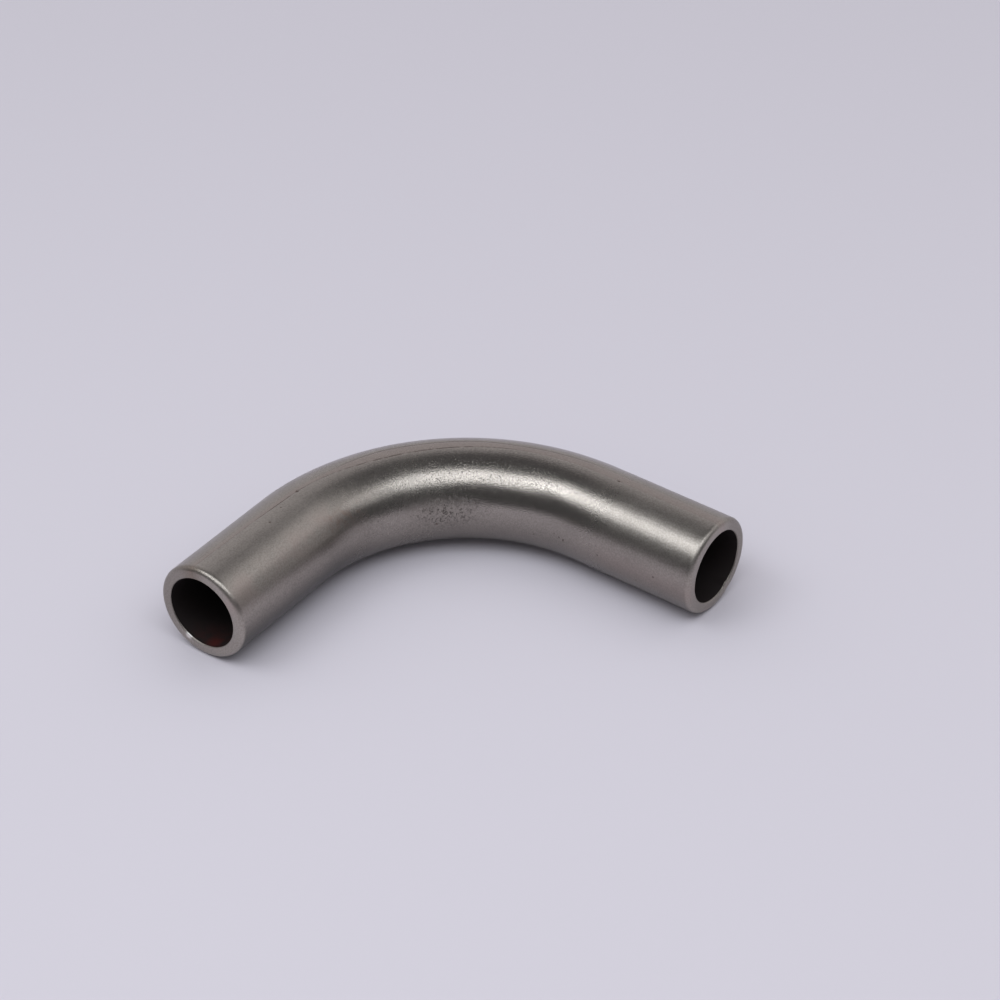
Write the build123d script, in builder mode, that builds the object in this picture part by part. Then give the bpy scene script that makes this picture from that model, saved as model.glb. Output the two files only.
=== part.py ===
from build123d import *
import os

# Steel pipe bend: one round tube, bent through a right angle, with a straight length at each end.
# It lies flat, as it would on a bench. Millimetres, +Z up, origin under the middle of its bounding
# box. One straight end opens towards -Y and the other towards +X.

# Tube
outer_diameter = 21.3
wall = 2.6

# Run of the centreline: straight, arc, straight
bend_radius = 45.0
bend_angle = 90.0
straight_length = 30.0

# Dressing of the two sawn ends
rim_round = 0.7
bore_chamfer = 0.3

outer_radius = outer_diameter / 2
bore_radius = outer_radius - wall

# The tube lies on the ground, so its centreline is one outer radius up. The arc's centre is set
# off along the diagonal, which puts the middle of a quarter bend's bounding box on the origin.
centre_offset = (bend_radius + outer_radius - straight_length) / 2
first_end = Vector(centre_offset - bend_radius, -centre_offset - straight_length, outer_radius)
arc_start = first_end + Vector(0, straight_length, 0)

# The tube is one annular section carried along the whole run, so outside and bore stay concentric
with BuildPart() as pipe_bend:
    with BuildLine() as centreline:
        first_straight = Line(first_end, arc_start)
        bend = JernArc(
            start=arc_start,
            tangent=first_straight % 1,
            radius=bend_radius,
            arc_size=-bend_angle,
        )
        Line(bend @ 1, bend @ 1 + (bend % 1) * straight_length)

    with BuildSketch(Plane(origin=first_end, x_dir=(1, 0, 0), z_dir=first_straight % 0)):
        Circle(radius=outer_radius)
        Circle(radius=bore_radius, mode=Mode.SUBTRACT)
    sweep(path=centreline.line)

    # Both square-cut ends: the outer edge is rounded over, and the bore's edge is broken
    end_faces = [pipe_bend.faces().sort_by(Axis.Y)[0], pipe_bend.faces().sort_by(Axis.X)[-1]]
    outer_rims = [face.edges().sort_by(SortBy.RADIUS)[-1] for face in end_faces]
    bore_rims = [face.edges().sort_by(SortBy.RADIUS)[0] for face in end_faces]
    fillet(outer_rims, radius=rim_round)
    chamfer(bore_rims, length=bore_chamfer)

pipe_bend.part.label = "pipe_bend"

os.makedirs("parts", exist_ok=True)
export_step(pipe_bend.part, "parts/pipe_bend.step")
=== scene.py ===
import math

import bpy
import numpy as np
from mathutils import Matrix, Vector


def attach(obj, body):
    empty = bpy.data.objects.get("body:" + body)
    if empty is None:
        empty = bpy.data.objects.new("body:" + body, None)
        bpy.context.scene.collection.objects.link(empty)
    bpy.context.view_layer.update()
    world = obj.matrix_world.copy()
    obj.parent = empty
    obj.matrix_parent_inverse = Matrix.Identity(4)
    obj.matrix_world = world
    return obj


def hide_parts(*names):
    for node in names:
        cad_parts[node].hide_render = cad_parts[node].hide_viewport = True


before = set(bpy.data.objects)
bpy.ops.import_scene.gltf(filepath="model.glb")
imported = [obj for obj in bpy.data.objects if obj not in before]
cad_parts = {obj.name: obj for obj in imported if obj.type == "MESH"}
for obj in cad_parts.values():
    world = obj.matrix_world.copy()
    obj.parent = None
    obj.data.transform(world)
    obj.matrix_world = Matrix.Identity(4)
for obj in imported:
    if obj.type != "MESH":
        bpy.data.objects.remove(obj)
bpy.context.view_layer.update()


# The pipe bend: one length of welded steel tube, bent cold through a right angle with a straight
# left at each end. The ends are sawn square, then dressed round. It is all one piece of metal.

TUBE_RADIUS = 0.01065
BORE_RADIUS = 0.00805
BEND_RADIUS = 0.045
STRAIGHT = 0.030
RIM_ROUND = 0.0012
BORE_EDGE = 0.0003
ARC_LENGTH = BEND_RADIUS * math.pi / 2
RUN_LENGTH = 2 * STRAIGHT + ARC_LENGTH
ARC_CENTRE = (BEND_RADIUS + TUBE_RADIUS - STRAIGHT) / 2


def along_bend(run):
    """Centreline of the tube. The turn grows from 0 to a right angle while run is on the arc, and the
    point is the arc's centre plus the bend radius at that turn. Run short of the arc steps back
    along -Y, run past it steps on along +X. Outward is the unit vector away from the arc's centre.
    """
    turn = np.clip((run - STRAIGHT) / BEND_RADIUS, 0, math.pi / 2)
    before = np.minimum(run - STRAIGHT, 0)
    beyond = np.maximum(run - STRAIGHT - ARC_LENGTH, 0)
    x = ARC_CENTRE - BEND_RADIUS * np.cos(turn) + beyond
    y = -ARC_CENTRE + BEND_RADIUS * np.sin(turn) + before
    return x, y, -np.cos(turn), np.sin(turn)


ROUNDING_POINTS = 9
FACE_POINTS = 6


def wall_profile(steps_outside, steps_inside):
    """Closed outline of the tube's wall as run and radius: along the outside, a quarter circle over
    the far rim, down the sawn face, over the bore's broken edge, back along the bore, and the same
    over the near rim.
    """
    quarter = np.linspace(0, math.pi / 2, ROUNDING_POINTS)
    rim_run = RIM_ROUND * (1 - np.sin(quarter))
    rim_radius = TUBE_RADIUS - RIM_ROUND * (1 - np.cos(quarter))
    edge_run = BORE_EDGE * (1 - np.cos(quarter))
    edge_radius = BORE_RADIUS + BORE_EDGE * (1 - np.sin(quarter))
    face_radius = np.linspace(rim_radius[-1], edge_radius[0], FACE_POINTS + 2)[1:-1]
    end_run = np.concatenate([rim_run, np.zeros(FACE_POINTS), edge_run])
    end_radius = np.concatenate([rim_radius, face_radius, edge_radius])
    outside = np.linspace(RIM_ROUND, RUN_LENGTH - RIM_ROUND, steps_outside)[1:-1]
    inside = np.linspace(RUN_LENGTH - BORE_EDGE, BORE_EDGE, steps_inside)[1:-1]
    on_outside = np.full_like(outside, TUBE_RADIUS)
    on_bore = np.full_like(inside, BORE_RADIUS)
    run = np.concatenate([outside, RUN_LENGTH - end_run, inside, end_run[::-1]])
    radius = np.concatenate([on_outside, end_radius, on_bore, end_radius[::-1]])
    return run, radius


def angles_round_tube(count, seam_from, seam_to, closer):
    """Angles from the top, positive towards the inside of the bend. Their spacing is even, but it is
    closer by a given factor between two angles, where the weld's narrow lines lie.
    """
    fine = np.linspace(-math.pi, math.pi, 4001)
    density = np.where((fine > seam_from) & (fine < seam_to), closer, 1.0)
    reached = np.concatenate([[0], np.cumsum((density[1:] + density[:-1]) / 2)])
    return np.interp(np.arange(count) / count, reached / reached[-1], fine)


def lattice_noise(run, lean, run_size, lean_cells, seed):
    """Smooth random height between -1 and 1. Random values sit on a lattice that closes round the
    tube, and each point blends its four neighbours with weights that ease in and out.
    """
    rows = int(RUN_LENGTH / run_size) + 3
    values = np.random.default_rng(seed).uniform(-1, 1, (rows, lean_cells))
    u = run / run_size
    v = (lean / (2 * math.pi) + 0.5) * lean_cells
    row = np.floor(u).astype(int)
    column = np.floor(v).astype(int)
    u = u - row
    v = v - column
    u = u * u * (3 - 2 * u)
    v = v * v * (3 - 2 * v)
    column, after = column % lean_cells, (column + 1) % lean_cells
    low = values[row, column] * (1 - v) + values[row, after] * v
    high = values[row + 1, column] * (1 - v) + values[row + 1, after] * v
    return low * (1 - u) + high * u


def hump(x, middle, width):
    """Bell curve: one at the middle, and about a third at one width away."""
    return np.exp(-(((x - middle) / width) ** 2))


# Where the flattened weld runs: stations along the tube in mm, and the lean in degrees of its two
# edges there. It wanders a little, as a seam does when a tube twists in the bender.
WELD_STATIONS = np.array([0, 20, 33, 41, 48, 54, 64, 74, 82, 91, 100, 131])
WELD_OUTER = np.array([-17, -16, -12, -9, -12, -14.6, -13.4, -14.4, -11, -11.6, -13.4, -14])
WELD_INNER = np.array([-12, -10, -6, -3.4, 0, 1.4, 0.5, -1.5, -2, -1, -1, -1])

# Pits in the skin: station in mm, lean in degrees, radius and depth in mm
PITS = np.array(
    [
        [32.7, -6.1, 0.42, 0.10],
        [26.4, -1.4, 0.24, 0.05],
        [21.2, 5.6, 0.30, 0.05],
        [105.8, -0.9, 0.36, 0.08],
        [99.2, 95.2, 0.45, 0.07],
        [97.9, 93.5, 0.30, 0.06],
        [96.4, 90.5, 0.24, 0.05],
        [108.2, 94.7, 0.25, 0.05],
        [122.0, 90.7, 0.30, 0.06],
        [63.3, 95.5, 0.42, 0.09],
        [90.2, 101.0, 0.26, 0.05],
        [117.6, 108.0, 0.22, 0.04],
    ]
)

WAVE_HEIGHT = 0.00002
WELD_FLAT_DEPTH = 0.00002
WELD_GROOVE_DEPTH = 0.00003
CRUMPLE_HEIGHT = 0.000026
BURR_HEIGHT = 0.00045


def worn_skin(run, lean):
    """Height of the outside below a true tube. It is a slow waviness, a flat strip with a fine groove
    at each edge where the weld was dressed, a rough patch on the inside of the bend where the
    metal was crowded, and a bell-shaped dent for each pit. It is never above zero.
    """
    lean_degrees = np.degrees(lean)
    run_mm = run * 1000
    waves = lattice_noise(run, lean, 0.012, 7, 3) + 0.5 * lattice_noise(run, lean, 0.005, 16, 5)
    height = WAVE_HEIGHT * (waves - 1.5)
    outer = np.interp(run_mm, WELD_STATIONS, WELD_OUTER)
    inner = np.interp(run_mm, WELD_STATIONS, WELD_INNER)
    strip = 1 / (1 + np.exp((outer - lean_degrees) * 2)) / (1 + np.exp((lean_degrees - inner) * 2))
    height -= WELD_FLAT_DEPTH * strip
    height -= WELD_GROOVE_DEPTH * (hump(lean_degrees, outer, 0.9) + hump(lean_degrees, inner, 0.9))
    rough = hump(run_mm, 66, 14) * hump(lean_degrees, 90, 26)
    rough += 0.4 * hump(run_mm, 45, 12) * hump(lean_degrees, 80, 20)
    crumple = lattice_noise(run, lean, 0.0011, 60, 11) + lattice_noise(run, lean, 0.0023, 29, 12)
    height += CRUMPLE_HEIGHT * rough * (crumple - 2)
    for station, at_lean, radius, depth in PITS:
        across = (lean_degrees - at_lean) / 180 * math.pi * TUBE_RADIUS * 1000
        height -= depth / 1000 * np.exp(-((run_mm - station) ** 2 + across**2) / radius**2)
    return np.minimum(height, 0)


def burr(run, lean):
    """How far a small burr at the second end's bore stands in: a bell round the edge and along it."""
    return BURR_HEIGHT * hump(np.degrees(lean), -150, 5) * hump(RUN_LENGTH - run, 0.0002, 0.0006)


def tube_mesh(name, profile, lean):
    """The wall's outline carried round the tube: each grid point is the centreline at its run, plus
    its radius times minus sine of the lean outward and its radius times cosine of the lean up.
    """
    run, radius = profile
    run_grid, lean_grid = np.meshgrid(run, lean, indexing="ij")
    outside = np.clip((radius - BORE_RADIUS) / (TUBE_RADIUS - BORE_RADIUS), 0, 1)[:, None] ** 2
    radius_grid = radius[:, None] + outside * worn_skin(run_grid, lean_grid)
    radius_grid = radius_grid - (1 - outside) * burr(run_grid, lean_grid)
    side_grid = radius_grid * np.sin(lean_grid)
    up_grid = radius_grid * np.cos(lean_grid)
    x, y, out_x, out_y = along_bend(run_grid)
    points = np.stack([x - out_x * side_grid, y - out_y * side_grid, TUBE_RADIUS + up_grid], axis=-1)

    rows, columns = run_grid.shape
    row = np.arange(rows)[:, None]
    column = np.arange(columns)[None, :]
    next_row = (row + 1) % rows
    next_column = (column + 1) % columns
    corners = [
        row * columns + column,
        row * columns + next_column,
        next_row * columns + next_column,
        next_row * columns + column,
    ]
    faces = np.stack(np.broadcast_arrays(*corners), axis=-1)

    mesh = bpy.data.meshes.new(name)
    mesh.vertices.add(rows * columns)
    mesh.vertices.foreach_set("co", points.ravel())
    mesh.loops.add(faces.size)
    mesh.loops.foreach_set("vertex_index", faces.ravel())
    mesh.polygons.add(rows * columns)
    mesh.polygons.foreach_set("loop_start", np.arange(0, faces.size, 4))
    mesh.update(calc_edges=True)
    mesh.shade_smooth()

    # The tube as if it were straight, in mm, so that a pattern can follow the bend with no join
    unbent = np.stack([run_grid, side_grid, up_grid], axis=-1) * 1000
    mesh.attributes.new("unbent", "FLOAT_VECTOR", "POINT").data.foreach_set(
        "vector", unbent.astype(np.float32).ravel()
    )
    weld_outer = np.interp(run_grid * 1000, WELD_STATIONS, WELD_OUTER)
    weld_inner = np.interp(run_grid * 1000, WELD_STATIONS, WELD_INNER)
    across_weld = (np.degrees(lean_grid) - weld_outer) / (weld_inner - weld_outer)
    mesh.attributes.new("across_weld", "FLOAT", "POINT").data.foreach_set(
        "value", across_weld.astype(np.float32).ravel()
    )

    # The second material starts where two rows in turn lie on the bore
    on_bore = np.abs(radius - BORE_RADIUS) < 1e-6
    in_bore = on_bore & np.roll(on_bore, -1)
    mesh.polygons.foreach_set("material_index", np.repeat(in_bore.astype(np.int32), columns))
    return mesh


class Signal:
    """One output of a shader node. Arithmetic on it adds Math nodes to the same tree."""

    def __init__(self, socket):
        self.socket = socket

    @staticmethod
    def from_node(tree, kind, settings=None, sockets=None, output=0):
        """Adds a node of this kind to a tree, applies its settings, then fills its sockets with
        values or other signals, and gives back one of its outputs.
        """
        node = tree.nodes.new(kind)
        for name, value in (settings or {}).items():
            setattr(node, name, value)
        for name, value in (sockets or {}).items():
            if isinstance(value, Signal):
                tree.links.new(value.socket, node.inputs[name])
            else:
                node.inputs[name].default_value = value
        return Signal(node.outputs[output])

    def node(self, kind, settings=None, sockets=None, output=0):
        """The same, in the tree that this signal is in."""
        return Signal.from_node(self.socket.id_data, kind, settings, sockets, output)

    def maths(self, operation, first, second=0.0):
        return self.node("ShaderNodeMath", {"operation": operation}, {0: first, 1: second})

    def __add__(self, other):
        return self.maths("ADD", self, other)

    def __mul__(self, other):
        return self.maths("MULTIPLY", self, other)

    def __sub__(self, other):
        return self.maths("SUBTRACT", self, other)

    def __rsub__(self, other):
        return self.maths("SUBTRACT", other, self)

    __radd__ = __add__
    __rmul__ = __mul__

    def size(self):
        """This value without its sign."""
        return self.maths("ABSOLUTE", self)

    def between(self, low, high):
        """Rises smoothly from 0 at low to 1 at high."""
        return self.node(
            "ShaderNodeMapRange",
            {"interpolation_type": "SMOOTHSTEP"},
            {"Value": self, "From Min": low, "From Max": high},
        )

    def near(self, middle, half_width):
        """Is 1 at the middle and falls smoothly to 0 at half a width to either side."""
        return 1 - (self - middle).size().between(0, half_width)

    def colours(self, first, second):
        """Mixes from the first colour to the second as this signal goes from 0 to 1."""
        colours = {6: first, 7: second}
        return self.node("ShaderNodeMix", {"data_type": "RGBA"}, {0: self, **colours}, output=2)

    def noise(self, scale, detail, roughness):
        """Noise read at this vector."""
        sockets = {"Vector": self, "Scale": scale, "Detail": detail, "Roughness": roughness}
        return self.node("ShaderNodeTexNoise", {}, sockets)

    def stretched(self, along, across, up):
        """This vector with each of its parts multiplied."""
        factors = {0: self, 1: (along, across, up)}
        return self.node("ShaderNodeVectorMath", {"operation": "MULTIPLY"}, factors)

    def distance_to(self, place):
        """How far this vector lies from a place."""
        ends = {0: self, 1: place}
        return self.node("ShaderNodeVectorMath", {"operation": "DISTANCE"}, ends, output="Value")

    def parts(self):
        """The three parts of this vector."""
        split = self.node("ShaderNodeSeparateXYZ", {}, {"Vector": self}).socket.node
        return [Signal(split.outputs[axis]) for axis in "XYZ"]

    def feed(self, surface, name):
        """Links this signal to a socket of a lit surface."""
        surface.id_data.links.new(self.socket, surface.inputs[name])


def start_material(name):
    """A new material, its node tree and its one lit surface."""
    material = bpy.data.materials.new(name)
    material.use_nodes = True
    return material, material.node_tree, material.node_tree.nodes["Principled BSDF"]


def read_attribute(tree, name, output):
    """An attribute of the mesh as a signal."""
    return Signal.from_node(tree, "ShaderNodeAttribute", {"attribute_name": name}, output=output)


def on_tube(station, at_lean, radius):
    """A place on the unbent tube in mm, from its station, its lean in degrees and its radius."""
    angle = math.radians(at_lean)
    return (station, radius * math.sin(angle), radius * math.cos(angle))


steel, steel_tree, steel_surface = start_material("ground_steel")
steel_surface.inputs["Metallic"].default_value = 1.0
unbent = read_attribute(steel_tree, "unbent", "Vector")
weld = read_attribute(steel_tree, "across_weld", "Fac")
run_mm, side_mm, up_mm = unbent.parts()
lean = side_mm.maths("ARCTAN2", side_mm, up_mm) * (180 / math.pi)

# Where the finish changes along the tube
on_first_end = 1 - run_mm.between(28, 55)
on_second_end = run_mm.between(98, 114)
at_rim = run_mm.between(1.3, 0.5) + run_mm.between(129.4, 130.2)

# The grinding: clouds of tone, lines drawn along the first end and round the second, and a grain
cloudy = unbent.noise(0.16, 3.0, 0.55)
mottled = unbent.noise(0.75, 3.0, 0.6)
grain = unbent.noise(3.4, 2.5, 0.5)
pepper = unbent.noise(2.9, 1.0, 0.5)
frost = unbent.noise(1.6, 1.0, 0.5)
drawn = unbent.stretched(0.05, 1.9, 1.9).noise(1.0, 3.0, 0.6) * on_first_end
turned = unbent.stretched(2.4, 0.12, 0.12).noise(1.0, 2.0, 0.6) * on_second_end

# Dark specks peppered over the bright side of the bend, and pocks crowded on its inside
peppered = run_mm.near(74, 44) * lean.near(36, 34)
specks = unbent.noise(2.7, 1.5, 0.7).between(0.61, 0.71) * peppered
crowded = 1.6 * (run_mm.near(66, 15) * lean.near(82, 30))
crowded = crowded + 0.3 * (run_mm.near(44, 18) * lean.near(78, 28))
pocks = unbent.noise(1.5, 3.0, 0.75).between(0.52, 0.66) * crowded

# The weld: a dark line at each edge, broken in places, and a faint warm cast between them
broken = unbent.stretched(0.33, 0.0, 0.0).noise(1.0, 3.0, 0.7)
on_top = lean.near(-7, 50).between(0.1, 0.3)
on_arm = run_mm.near(27, 12)
first_line = weld.near(0, 0.10) * run_mm.between(38, 52) * (1 - run_mm.between(90, 104))
second_line = weld.near(1, 0.11) * (broken.between(0.42, 0.52) + on_arm)
second_line = second_line * (1 - run_mm.between(72, 92))
weld_lines = (first_line * broken.between(0.30, 0.40) + second_line) * on_top
on_weld = weld.between(-0.15, 0.15) * (1 - weld.between(0.85, 1.15)) * on_top

# Each pit is dark at its bottom
ragged = unbent.noise(2.4, 2.0, 0.6) - 0.5
pit_marks = 0.0 * run_mm
for station, at_lean, radius, depth in PITS:
    away = unbent.distance_to(on_tube(station, at_lean, TUBE_RADIUS * 1000))
    pit_marks = pit_marks + (away + 1.6 * radius * ragged).between(1.2 * radius, 0.3 * radius)

# Colour of the skin: the clean metal, warmed and browned in places, then every dark mark on it
tone = 0.86 + 0.16 * cloudy + 0.10 * mottled + 0.12 * drawn + 0.55 * (pepper - 0.5)
clean = tone.between(0.80, 1.24).colours((0.303, 0.275, 0.248, 1), (0.435, 0.396, 0.357, 1))
warm = lean.near(48, 30) * on_first_end * cloudy.between(0.35, 0.65) + 0.7 * on_weld
warm = warm + lean.near(96, 26) * on_second_end * 0.7
warmed = (0.5 * warm).colours(clean, (0.40, 0.32, 0.29, 1))
brown = run_mm.near(37, 12) * lean.near(52, 22) * mottled.between(0.4, 0.7)
browned = (0.4 * brown).colours(warmed, (0.28, 0.16, 0.12, 1))
lined = (0.55 * weld_lines).colours(browned, (0.11, 0.07, 0.055, 1))
marked = (0.6 * pocks + 0.75 * specks).colours(lined, (0.10, 0.085, 0.075, 1))
pitted = (0.7 * pit_marks).colours(marked, (0.10, 0.065, 0.05, 1))

# On the rims: a brown stain over the first mouth, a pit low on the second, and a painted highlight
# low in the first
stain = run_mm.between(1.6, 0.6) * lean.near(-14, 26)
stained = (0.5 * stain).colours(pitted, (0.16, 0.12, 0.085, 1))
rim_pit = unbent.distance_to(on_tube(130.2, 160, 10.2)).between(0.6, 0.2)
rim_pitted = (0.7 * rim_pit).colours(stained, (0.09, 0.06, 0.05, 1))
# Painted highlight: a small spot of brighter metal on the first mouth's bore edge stands in for a
# glint
glint = unbent.distance_to(on_tube(0.1, -154, 8.2)).between(1.1, 0.4)
with_glint = glint.colours(rim_pitted, (0.85, 0.82, 0.78, 1))

# Painted shade: the flanks and the underside are darkened, most on the first end, for the shaded
# floor they mirror
shaded_flank = lean.size().between(56, 118) * (1 - at_rim)
# Painted shade also dims the outer side beyond the weld, where it mirrors the room at a grazing angle
shaded_over_weld = lean.between(-12, -40) * lean.between(-160, -120)
painted_shade = shaded_flank * (0.90 - 0.52 * run_mm.between(28, 52)) + 0.22 * shaded_over_weld
painted_shade.colours(with_glint, (0.045, 0.040, 0.037, 1)).feed(steel_surface, "Base Color")

satin = 0.17 + 0.10 * mottled + 0.08 * drawn + 0.06 * turned
satin = satin + 0.10 * crowded + 0.08 * at_rim + 0.07 * on_second_end + 0.05 * on_first_end
satin = satin + 0.05 * run_mm.near(58, 16)
satin.feed(steel_surface, "Roughness")

# Fine relief: the grain is etched deeper on the bend, and every dark mark is sunk
etched = 0.35 + 2.05 * run_mm.between(34, 66)
relief = etched * (0.42 * grain + 0.12 * frost) + 0.35 * drawn + 0.6 * turned
relief = relief - 0.9 * specks - 1.6 * pocks - 0.6 * weld_lines
bump = relief.node("ShaderNodeBump", {}, {"Strength": 1.0, "Distance": 0.00003, "Height": relief})
bump.feed(steel_surface, "Normal")

# Inside the bore the metal keeps the black scale of the mill, with a little rust by the first mouth
scale, scale_tree, scale_surface = start_material("bore_scale")
unbent = read_attribute(scale_tree, "unbent", "Vector")
from_mouth = unbent.distance_to(on_tube(1.8, 167, BORE_RADIUS * 1000))
rust = unbent.noise(0.45, 3.0, 0.5).between(0.30, 0.66) * from_mouth.between(8, 1)
rusty = rust.colours((0.015, 0.011, 0.011, 1), (0.030, 0.010, 0.009, 1))
spotted = from_mouth.between(2.4, 0.4).colours(rusty, (0.052, 0.010, 0.008, 1))
spotted.feed(scale_surface, "Base Color")
scale_surface.inputs["Roughness"].default_value = 0.65
scale_surface.inputs["Specular IOR Level"].default_value = 0.2

profile = wall_profile(390, 60)
lean_angles = angles_round_tube(200, math.radians(-20), math.radians(5), 3)
pipe = bpy.data.objects.new("bent_tube", tube_mesh("bent_tube", profile, lean_angles))
bpy.context.scene.collection.objects.link(pipe)
pipe.data.materials.append(steel)
pipe.data.materials.append(scale)
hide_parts("pipe_bend")
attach(pipe, "root")


# The table that the pipe lies on: a smooth pale sheet with a faint lavender cast, much larger than
# the view. It touches the underside of the tube. Far off it fades into the pale room, for the
# camera and for what the metal mirrors.

FLOOR_HALF = 3.0
FADES_FROM = 0.25
FADED_AT = 1.1
ROOM_COLOUR = (0.631, 0.615, 0.688, 1)

floor_corners = [
    (-FLOOR_HALF, -FLOOR_HALF, 0),
    (FLOOR_HALF, -FLOOR_HALF, 0),
    (FLOOR_HALF, FLOOR_HALF, 0),
    (-FLOOR_HALF, FLOOR_HALF, 0),
]
floor_mesh = bpy.data.meshes.new("floor")
floor_mesh.from_pydata(floor_corners, [], [(0, 1, 2, 3)])
floor = bpy.data.objects.new("floor", floor_mesh)
bpy.context.scene.collection.objects.link(floor)


def light_path(tree, *kinds):
    """Is 1 on rays of any of the kinds given, such as Camera or Glossy."""
    path = Signal.from_node(tree, "ShaderNodeLightPath").socket.node
    return sum(Signal(path.outputs[f"Is {kind} Ray"]) for kind in kinds)


sheet, sheet_tree, sheet_surface = start_material("pale_sheet")
sheet_surface.inputs["Base Color"].default_value = (0.562, 0.535, 0.583, 1)
sheet_surface.inputs["Roughness"].default_value = 0.9
sheet_surface.inputs["Specular IOR Level"].default_value = 0.1
on_floor = Signal.from_node(sheet_tree, "ShaderNodeTexCoord", output="Object")
far_off = on_floor.distance_to((0, 0, 0)).between(FADES_FROM, FADED_AT)
far_off = far_off * light_path(sheet_tree, "Camera", "Glossy", "Transmission")
haze = far_off.node("ShaderNodeEmission", {}, {"Color": ROOM_COLOUR})
sheet_and_haze = {0: far_off, 1: Signal(sheet_surface.outputs["BSDF"]), 2: haze}
faded = far_off.node("ShaderNodeMixShader", {}, sheet_and_haze)
faded.feed(sheet_tree.nodes["Material Output"], "Surface")
floor_mesh.materials.append(sheet)


# The camera stands at the photograph's angle, above and in front of the bend, and looks down at it.
# Its lens is long, so the two arms keep nearly the same width.

PICTURE_WIDTH = 1000
FOCAL_PIXELS = 3730.7
SENSOR_WIDTH = 36
LOOKING_DOWN = math.radians(37.04)
ROLL = math.radians(1.0)
TURN = math.radians(45 - 9.87)
SIDE_STEP = 0.2663 * 2 * TUBE_RADIUS
BACK_STEP = -27.4194 * 2 * TUBE_RADIUS
CAMERA_HEIGHT = 22.6446 * 2 * TUBE_RADIUS

turn = Matrix.Rotation(TURN, 3, "Z")
place_on_floor = turn @ Vector((SIDE_STEP, BACK_STEP, 0))
looks = turn @ Vector((0, math.cos(LOOKING_DOWN), 0)) - Vector((0, 0, math.sin(LOOKING_DOWN)))
level = turn @ Vector((1, 0, 0))
upright = level.cross(looks)
right = math.cos(ROLL) * level + math.sin(ROLL) * upright
upward = math.cos(ROLL) * upright - math.sin(ROLL) * level

camera = bpy.data.objects.new("camera", bpy.data.cameras.new("camera"))
bpy.context.scene.collection.objects.link(camera)
camera.data.sensor_fit = "HORIZONTAL"
camera.data.sensor_width = SENSOR_WIDTH
camera.data.lens = SENSOR_WIDTH * FOCAL_PIXELS / PICTURE_WIDTH
stand = Matrix((right, upward, -looks)).transposed().to_4x4()
stand.translation = place_on_floor + Vector((ARC_CENTRE, -ARC_CENTRE, CAMERA_HEIGHT))
camera.matrix_world = stand
bpy.context.scene.camera = camera
bpy.context.scene.view_settings.view_transform = "Standard"


# The light: soft strips hung above and in front, which draw the bright line along the tube, a weak
# fill behind, and an even room round it. What the metal mirrors of the room is pale low down behind
# it and dark elsewhere.

COOL_WHITE = (0.91, 0.955, 1.0)
NEARLY_WHITE = (0.97, 0.98, 1.0)


def hang_lamp(name, place, heading, size, power, colour):
    """Hangs a flat soft lamp at a place, facing the pipe, its long side level along a heading that is
    in degrees.
    """
    lamp = bpy.data.objects.new(name, bpy.data.lights.new(name, "AREA"))
    bpy.context.scene.collection.objects.link(lamp)
    lamp.data.shape = "RECTANGLE"
    lamp.data.size, lamp.data.size_y = size
    lamp.data.energy = power
    lamp.data.color = colour
    away = Vector(place).normalized()
    heading = math.radians(heading)
    across = away.cross(Vector((math.cos(heading), math.sin(heading), 0))).normalized()
    lamp.matrix_world = Matrix((across.cross(away), across, away)).transposed().to_4x4()
    lamp.location = place


hang_lamp("strip_light", (0.186, -0.273, 0.75), 42.7, (0.86, 0.42), 2.7, COOL_WHITE)
hang_lamp("strip_end", (0.641, 0.147, 0.75), 42.7, (0.50, 0.40), 0.45, COOL_WHITE)
hang_lamp("end_light", (-0.35, -0.38, 0.75), 113, (0.42, 0.38), 1.42, COOL_WHITE)
hang_lamp("fill_light", (0.31, 0.40, 0.55), -38, (0.60, 0.40), 0.22, NEARLY_WHITE)

world = bpy.data.worlds.new("room")
world.use_nodes = True
bpy.context.scene.world = world
room = world.node_tree
east, north, height = Signal.from_node(room, "ShaderNodeTexCoord", output="Generated").parts()
behind = (north * math.cos(TURN) - east * math.sin(TURN)).between(-0.3, 0.4)
pale = behind * (1 - height.between(0.66, 0.88))
mirror_colour = pale.colours((0.092, 0.095, 0.102, 1), (0.56, 0.55, 0.58, 1))
overhead = height.between(-0.2, 1.2) * (1 - 0.6 * east)
overhead_colour = overhead.colours((0.19, 0.19, 0.20, 1), (0.93, 0.93, 0.96, 1))
lit = light_path(room, "Glossy").colours(overhead_colour, mirror_colour)
seen = light_path(room, "Camera", "Transmission").colours(lit, ROOM_COLOUR)
seen.feed(room.nodes["Background"], "Color")
